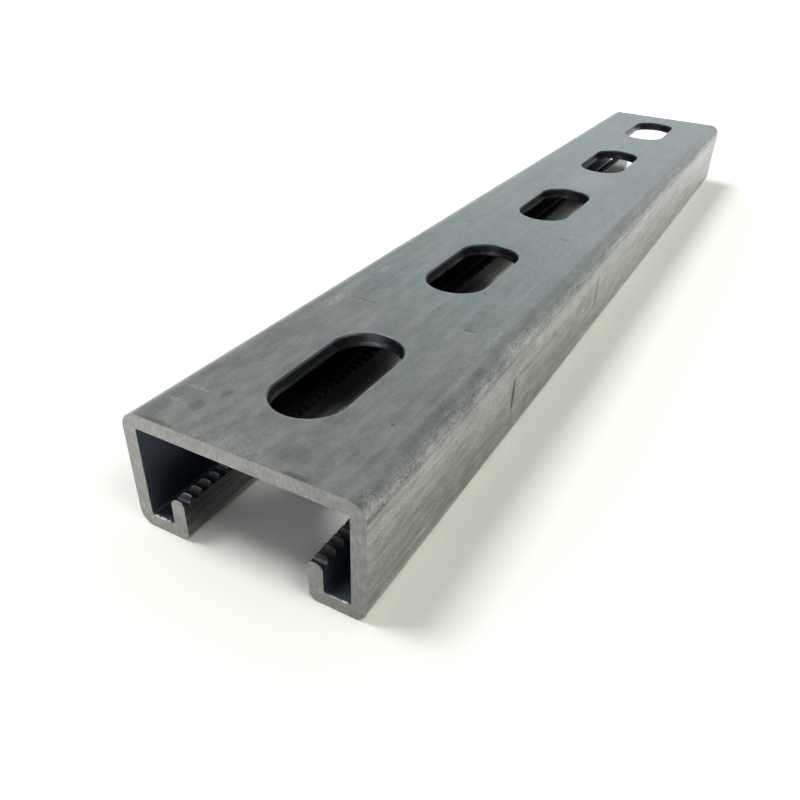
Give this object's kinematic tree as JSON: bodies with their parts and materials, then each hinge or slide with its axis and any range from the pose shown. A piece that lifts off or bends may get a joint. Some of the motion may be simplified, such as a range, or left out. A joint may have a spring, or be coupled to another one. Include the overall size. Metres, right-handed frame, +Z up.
{
  "type": "slotted strut channel",
  "caption": "Length of slotted strut channel: a roll-formed C section with a row of round-ended slots along its back and inturned lips with notched edges that grip a channel nut.",
  "frame": {"origin": "middle of the underside, level with the two flanges that it lies on", "axes": "+X along the channel, towards the end away from the camera; +Y across it; +Z up, from the open mouth to the slotted back"},
  "size_m": [0.25, 0.041, 0.021],
  "materials": {
    "zinc_coated_steel": "zinc coating, satin, with fine rolling lines along the length"
  },
  "bodies": {
    "root": {"strut_channel": "zinc_coated_steel"}
  },
  "joints": []
}
